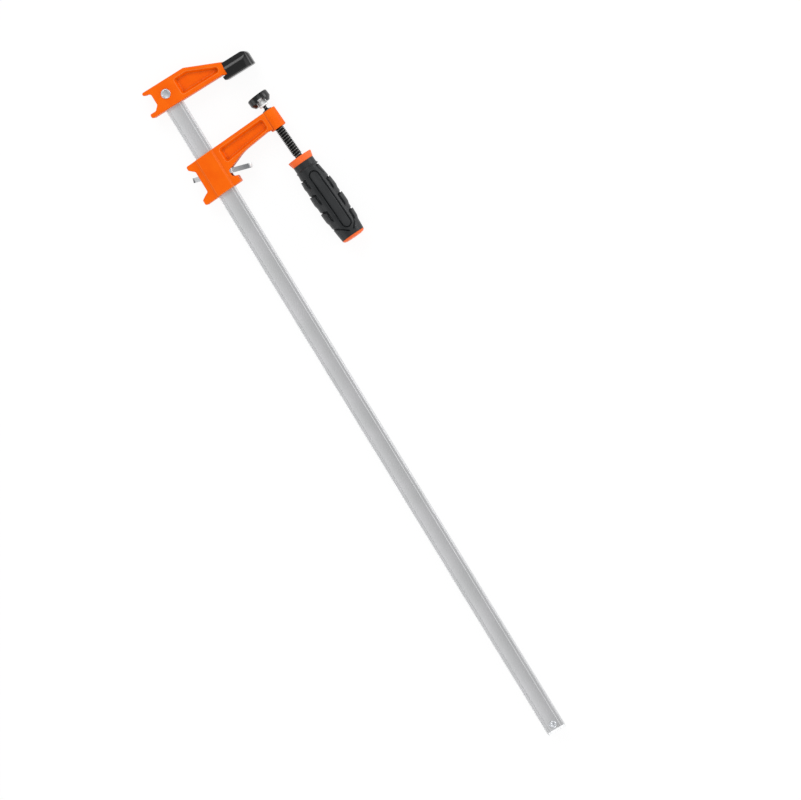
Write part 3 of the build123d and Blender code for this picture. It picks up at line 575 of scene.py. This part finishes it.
# A cut just before the rounded tip keeps the shading of the long faces straight
tip_start = PAD_TIP - PAD_TIP_ROUND - PAD_EDGE_ROUND
bpy.ops.object.mode_set(mode="EDIT")
bpy.ops.mesh.select_all(action="SELECT")
bpy.ops.mesh.bisect(plane_co=(0.0, tip_start * MM, 0.0), plane_no=(0.0, 1.0, 0.0))
bpy.ops.object.mode_set(mode="OBJECT")
round_edges(jaw_pad, PAD_EDGE_ROUND, 2, PAD_ROUND_FROM)
combine(jaw_pad, copy_of(nodes["fixed_head"]), "DIFFERENCE")
fit(jaw_pad, in_place, "bar", pad_plastic, "fixed_jaw_pad", PAD_SMOOTH)

# Clutch spring: a coil with its own mesh; on the clamp it shortens towards its seat as the lever tilts the
# plates
COIL_RADIUS = 1.85
COIL_WIRE = 0.35
COILS = 5.5
COIL_STEPS = 24
WIRE_SIDES = 12
spring_low, spring_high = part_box("clutch_spring")
spring_middle = (spring_low + spring_high) / 2
coil_start = Vector((spring_low.x + COIL_WIRE * MM, spring_middle.y, spring_middle.z)) / MM
coil_length = spring_high.x - spring_low.x - 2 * COIL_WIRE * MM
coil_steps = int(COILS * COIL_STEPS)
spring = start_from(
    bpy.ops.mesh.primitive_circle_add, "release_spring", vertices=WIRE_SIDES, radius=COIL_WIRE * MM,
    location=(COIL_RADIUS * MM, 0.0, 0.0), rotation=(math.pi / 2, 0.0, 0.0))
bpy.ops.object.mode_set(mode="OBJECT")
apply_modifier(
    spring, "SCREW", axis="Z", angle=COILS * math.tau, screw_offset=coil_length, steps=coil_steps,
    render_steps=coil_steps)
bpy.ops.object.mode_set(mode="EDIT")
bpy.ops.mesh.select_all(action="SELECT")
bpy.ops.mesh.fill_holes(sides=WIRE_SIDES)
close_mesh()
coil_frame = axes(coil_start, Vector((0.0, 1.0, 0.0)), Vector((1.0, 0.0, 0.0)))
fit(spring, coil_frame, "sliding_head", spring_steel, "clutch_spring")
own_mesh(spring)

# Swivel socket: a plated disc with a hub that is rolled over the ball
SOCKET_RADIUS = 2.65
MOUTH_RADIUS = 2.3
MOUTH_RIM = 3.1
MOUTH_END = 4.3
DISC_RADIUS = 7.6
DISC_TOP = -4.2
DISC_END = -2.7
NECK_RADIUS = 3.5
NECK_TOP = -1.4
HUB_RADIUS = 4.3
HUB_START = -0.8
HUB_TOP = 1.9
COLLAR_RADIUS = 4.9
COLLAR_START = 2.4
COLLAR_END = 4.0
BALL_STEPS = 10
SOCKET_STEPS = 64
SOCKET_ROUND = 0.2
mouth_angle = math.asin(MOUTH_RADIUS / SOCKET_RADIUS)
seat_line = []
for i in range(BALL_STEPS + 1):
    angle = mouth_angle + (math.pi - mouth_angle) * i / BALL_STEPS
    seat_line.append((SOCKET_RADIUS * math.sin(angle), SOCKET_RADIUS * math.cos(angle)))
socket_line = [
    (0.0, DISC_TOP), (DISC_RADIUS, DISC_TOP), (DISC_RADIUS, DISC_END), (NECK_RADIUS, DISC_END),
    (NECK_RADIUS, NECK_TOP), (HUB_RADIUS, HUB_START), (HUB_RADIUS, HUB_TOP), (COLLAR_RADIUS, COLLAR_START),
    (COLLAR_RADIUS, COLLAR_END), (MOUTH_RIM, MOUTH_END)]
socket = turn_on_lathe("socket_cup", socket_line + seat_line, SOCKET_STEPS)
round_edges(socket, SOCKET_ROUND, 2)
fit(socket, pad_frame, "swivel", socket_zinc, "swivel_socket")

# Swivel pad: a moulded cap with four fingers clipped over the disc
FACE = -8.2
FACE_RADIUS = 9.7
FACE_EDGE = 0.9
CAP_RADIUS = 10.6
RIM_END = -1.7
FINGER_END = 1.7
FINGER_TIP = 8.0
FINGER_INSIDE = 5.3
CLIP = -2.4
WIDE_SLOT = (9.4, -1.4)
NARROW_SLOT = (4.8, -3.6)
SIDE_SLOT = 2.6
SLOT_LENGTH = 20.0
SLOT_TOP = FINGER_END + 1.0
SWIVEL_STEPS = 96
SWIVEL_ROUND = 0.35
pad_line = [
    (0.0, FACE), (FACE_RADIUS, FACE), (CAP_RADIUS, FACE + FACE_EDGE), (CAP_RADIUS, RIM_END),
    (FINGER_TIP, FINGER_END), (FINGER_INSIDE, FINGER_END), (FINGER_INSIDE, CLIP), (DISC_RADIUS, CLIP),
    (DISC_RADIUS, DISC_TOP), (0.0, DISC_TOP)]
swivel_pad = turn_on_lathe("swivel_pad_cap", pad_line, SWIVEL_STEPS)
cuts = [(SLOT_LENGTH, width / 2, bottom) for width, bottom in (NARROW_SLOT, WIDE_SLOT)]
cuts.append((SIDE_SLOT / 2, SLOT_LENGTH, RIM_END))
for half_x, half_y, bottom in cuts:
    cutter = block("slot_cutter", (-half_x, -half_y, bottom), (half_x, half_y, SLOT_TOP))
    close_mesh()
    combine(swivel_pad, cutter, "DIFFERENCE")
round_edges(swivel_pad, SWIVEL_ROUND)
fit(swivel_pad, pad_frame, "swivel", pad_plastic, "swivel_pad")

# Handle: orange core with its flange, the end cap and the soft grip between them
FLANGE = 12.6
FLANGE_DRAFT = 0.35
FLANGE_RIM = 1.6
FLANGE_FOOT = 10.9
FLANGE_HEIGHT = 6.4
CORE = 6.5
GRIP_END = 87.8
GRIP_TAIL = 88.9
TANG_BORE = 3.65
TANG = 38.0
SPIGOT = 4.0
SPIGOT_START = 78.8
CAP = 11.8
CAP_SIDE_END = GRIP_END + 1.9
CAP_SHOULDER = 10.4
CAP_SHOULDER_END = GRIP_END + 3.2
CAP_CROWN = 7.6
CAP_END = GRIP_END + 3.8
HANDLE_STEPS = 96
HANDLE_ROUND = 0.5
CAP_ROUND_FROM = 15.0
core_line = [
    (TANG_BORE, 0.0), (FLANGE, 0.0), (FLANGE - FLANGE_DRAFT, FLANGE_RIM), (FLANGE_FOOT, FLANGE_HEIGHT),
    (CORE, FLANGE_HEIGHT), (CORE, GRIP_END), (SPIGOT, GRIP_END), (SPIGOT, SPIGOT_START), (0.0, SPIGOT_START),
    (0.0, TANG), (TANG_BORE, TANG), (TANG_BORE, 0.0)]
core = turn_on_lathe("handle_flange", core_line, HANDLE_STEPS)
round_edges(core, HANDLE_ROUND)
fit(core, handle_frame, "screw", handle_plastic, "handle_core")
cap_line = [
    (0.0, SPIGOT_START), (SPIGOT, SPIGOT_START), (SPIGOT, GRIP_END), (CORE, GRIP_END), (CORE, GRIP_TAIL),
    (CAP, GRIP_TAIL), (CAP, CAP_SIDE_END), (CAP_SHOULDER, CAP_SHOULDER_END), (CAP_CROWN, CAP_END),
    (0.0, CAP_END)]
cap = turn_on_lathe("handle_end", cap_line, HANDLE_STEPS)
round_edges(cap, HANDLE_ROUND, sharper_than=CAP_ROUND_FROM)
fit(cap, handle_frame, "screw", handle_plastic, "handle_end_cap")

# Grip barrel: a neck, a bead and a belly, as (radius, height) from the flange's underside
NECK = 10.8
NECK_END = 12.0
BEAD = [(11.15, 12.4), (11.6, 12.9), (11.8, 13.4), (11.5, 13.9), (11.2, 14.3)]
FOOT = Vector((11.2, 14.8))
FOOT_PULL = Vector((1.3, 11.0))
BELLY = Vector((13.75, 54.0))
BELLY_PULL_BACK = Vector((0.0, 18.0))
BELLY_PULL_ON = Vector((0.0, 14.0))
TAIL = Vector((11.9, GRIP_TAIL))
TAIL_PULL = Vector((-0.9, 9.0))
RING_STEP = 0.4
GRIP_STEPS = 240
rings_to_belly = int((BELLY.y - FOOT.y) / RING_STEP)
rings_to_tail = int((TAIL.y - BELLY.y) / RING_STEP)
neck_rings = int((NECK_END - FLANGE_HEIGHT) / RING_STEP)
to_belly = interpolate_bezier(FOOT, FOOT + FOOT_PULL, BELLY - BELLY_PULL_BACK, BELLY, rings_to_belly)
to_tail = interpolate_bezier(BELLY, BELLY + BELLY_PULL_ON, TAIL - TAIL_PULL, TAIL, rings_to_tail)
grip_line = [(CORE, FLANGE_HEIGHT)]
for i in range(neck_rings + 1):
    grip_line.append((NECK, FLANGE_HEIGHT + (NECK_END - FLANGE_HEIGHT) * i / neck_rings))
grip_line += BEAD
grip_line += [(point.x, point.y) for point in to_belly[:-1] + to_tail]
grip_line += [(CORE, GRIP_TAIL), (CORE, FLANGE_HEIGHT)]
grip = turn_on_lathe("soft_grip", grip_line, GRIP_STEPS)

# Grip relief, in (along the handle, across it): a blank panel's outline, and pads on both flanks with grooves
PANEL_MIDDLE = 49.5
PANEL_HALF = 31.1
PANEL_ROUND = 4.6
PAD_RAISE = 0.85
PAD_SLANT = 2.8
PAD_SLANT_REACH = 4.0
PAD_SIDE_EDGE = 0.8
PAD_START_EDGE = 0.7
PAD_FADE = 4.0
GROOVE_DEPTH = 1.5
GROOVE_HALF = 0.85
GROOVE_OUT = 14.0
GROOVE_LEAD = 0.4
GROOVE_TURN = 0.6
GROOVE_SHORT = 1.2
LEAST_WEIGHT = 0.001
BAR_SIDE_LINE = 9.6
TIP_SIDE_LINE = 8.6
BAR_SIDE_PADS = [(19.9, 32.3), (37.1, 50.3), (55.9, 69.5)]
TIP_SIDE_PADS = [(29.6, 43.8), (48.5, 62.9), (66.8, 79.0)]
FLANKS = [(-1, BAR_SIDE_LINE, BAR_SIDE_PADS), (1, TIP_SIDE_LINE, TIP_SIDE_PADS)]
SLANT_GROOVE = [(74.2, -13.6), (84.4, -2.4)]
HOOK_GROOVE = [(76.0, TIP_SIDE_LINE), (79.4, 7.2), (84.6, 2.6)]
NECK_GROOVE = [(14.6, 11.0), (16.5, 7.8), (25.0, 9.9)]


def ease(value):
    """Smooth step from 0 to 1."""
    value = np.clip(value, 0.0, 1.0)
    return value * value * (3.0 - 2.0 * value)


def distance_to(path, along, across):
    """How far each point is from a path of straight runs."""
    nearest = np.full(len(along), np.inf)
    for (a0, c0), (a1, c1) in zip(path, path[1:]):
        run = (a1 - a0) ** 2 + (c1 - c0) ** 2
        share = np.clip(((along - a0) * (a1 - a0) + (across - c0) * (c1 - c0)) / run, 0.0, 1.0)
        gap = np.hypot(along - a0 - share * (a1 - a0), across - c0 - share * (c1 - c0))
        nearest = np.minimum(nearest, gap)
    return nearest


points = np.zeros(len(grip.data.vertices) * 3)
grip.data.vertices.foreach_get("co", points)
points = points.reshape(-1, 3) / MM
along_grip = points[:, 2]
across_grip = -points[:, 1]
outside = np.hypot(points[:, 0], points[:, 1]) > (CORE + NECK) / 2
grooves = [SLANT_GROOVE, HOOK_GROOVE, NECK_GROOVE]
raised = np.zeros(len(points))
for side, line, pads in FLANKS:
    reach = side * across_grip - line
    for pad_start, pad_end in pads:
        start_edge = pad_start + PAD_SLANT * (1.0 - ease(reach / PAD_SLANT_REACH))
        begun = ease(reach / PAD_SIDE_EDGE) * ease((along_grip - start_edge) / PAD_START_EDGE)
        faded = ease((along_grip - pad_end + PAD_FADE) / PAD_FADE)
        raised = np.maximum(raised, begun * (1.0 - faded))
        grooves.append([
            (pad_start - GROOVE_LEAD, side * GROOVE_OUT), (pad_start + PAD_SLANT - GROOVE_TURN, side * line),
            (pad_end - GROOVE_SHORT, side * line)])
past_straight = np.maximum(np.abs(along_grip - PANEL_MIDDLE) - (PANEL_HALF - PANEL_ROUND), 0.0)
gaps = [np.abs(np.hypot(past_straight, across_grip) - PANEL_ROUND)]
gaps += [distance_to(path, along_grip, across_grip) for path in grooves]
sunk = 1.0 - ease(np.min(gaps, axis=0) / GROOVE_HALF)
for group_name, weights, strength in (("raised_pads", raised, PAD_RAISE), ("grooves", sunk, -GROOVE_DEPTH)):
    group = grip.vertex_groups.new(name=group_name)
    for index in np.nonzero((weights > LEAST_WEIGHT) & outside)[0]:
        group.add([int(index)], float(weights[index]), "REPLACE")
    apply_modifier(grip, "DISPLACE", vertex_group=group_name, strength=strength * MM, mid_level=0.0)
fit(grip, handle_frame, "screw", grip_rubber, "handle_grip")

# Camera: a long lens, so that the picture is almost without perspective
BAR_TURN = math.radians(31.49)
CAMERA_TIP = math.radians(8.0)
VIEW_CENTRE = Vector((341.8, -34.2, 0.0))
VIEW_WIDTH = 754.5
LENS = 250.0
SENSOR = 36.0
FARTHEST_SEEN = 100.0
across = Vector((0.0, math.cos(CAMERA_TIP), -math.sin(CAMERA_TIP)))
along = Vector((1.0, 0.0, 0.0))
picture_right = along * math.sin(BAR_TURN) + across * math.cos(BAR_TURN)
picture_up = across * math.sin(BAR_TURN) - along * math.cos(BAR_TURN)
towards_camera = picture_right.cross(picture_up)
camera_data = bpy.data.cameras.new("camera")
camera_data.lens = LENS
camera_data.sensor_width = SENSOR
camera_data.clip_end = FARTHEST_SEEN
camera = bpy.data.objects.new("camera", camera_data)
bpy.context.scene.collection.objects.link(camera)
stand = (VIEW_CENTRE + towards_camera * VIEW_WIDTH * LENS / SENSOR) * MM
turn = Matrix((picture_right, picture_up, towards_camera)).transposed().to_4x4()
camera.matrix_world = Matrix.Translation(stand) @ turn
bpy.context.scene.camera = camera

# Stage: a pale floor under the clamp, in metres
FLOOR_SIZE = 40.0
FLOOR_MIDDLE = 0.3
bpy.ops.object.select_all(action="DESELECT")
bpy.ops.mesh.primitive_plane_add(size=FLOOR_SIZE, location=(FLOOR_MIDDLE, 0.0, cad_box[0].z))
floor = bpy.context.object
floor.name = "studio_floor"
dress(floor, studio_paper())

# Light: a white room and six broad lamps, placed in metres
ROOM_LIGHT = 0.48
SHINE_LESS = -0.1
LAMP_AIM = Vector((0.25, -0.05, 0.0))
world = bpy.data.worlds.new("white_room")
world.use_nodes = True
tree = world.node_tree
tree.nodes.clear()
rays = add(tree, "LightPath").outputs
shine = add(tree, "Math", {0: rays["Is Glossy Ray"], 1: SHINE_LESS, 2: ROOM_LIGHT}, operation="MULTIPLY_ADD")
level = add(tree, "Math", {0: rays["Is Camera Ray"], 1: shine.outputs["Value"]}, operation="MAXIMUM")
room = add(tree, "Background", {"Color": grey(1.0), "Strength": level.outputs["Value"]})
add(tree, "OutputWorld", {"Surface": room.outputs["Background"]})
bpy.context.scene.world = world


def lamp(name, place, size, brightness):
    """A broad square lamp facing the heads; at brightness 1 it looks as bright as white paper."""
    data = bpy.data.lights.new(name, "AREA")
    data.size = size
    data.energy = brightness * math.pi * size ** 2
    made = bpy.data.objects.new(name, data)
    made.location = place
    made.rotation_euler = (LAMP_AIM - Vector(place)).to_track_quat("-Z", "Y").to_euler()
    bpy.context.scene.collection.objects.link(made)


lamp("overhead_lamp", place=(0.6, 0.85, 2.2), size=2.2, brightness=0.72)
lamp("right_lamp", place=(0.1, 1.95, 1.05), size=1.3, brightness=0.25)
lamp("low_right_lamp", place=(0.1, 1.8, 0.25), size=1.0, brightness=3.4)
lamp("top_lamp", place=(-1.3, 0.1, 1.6), size=1.2, brightness=3.5)
lamp("left_lamp", place=(0.25, -2.0, 0.95), size=1.3, brightness=1.3)
lamp("foot_lamp", place=(2.2, 0.1, 0.7), size=1.2, brightness=2.2)

bpy.context.scene.view_settings.view_transform = "Standard"
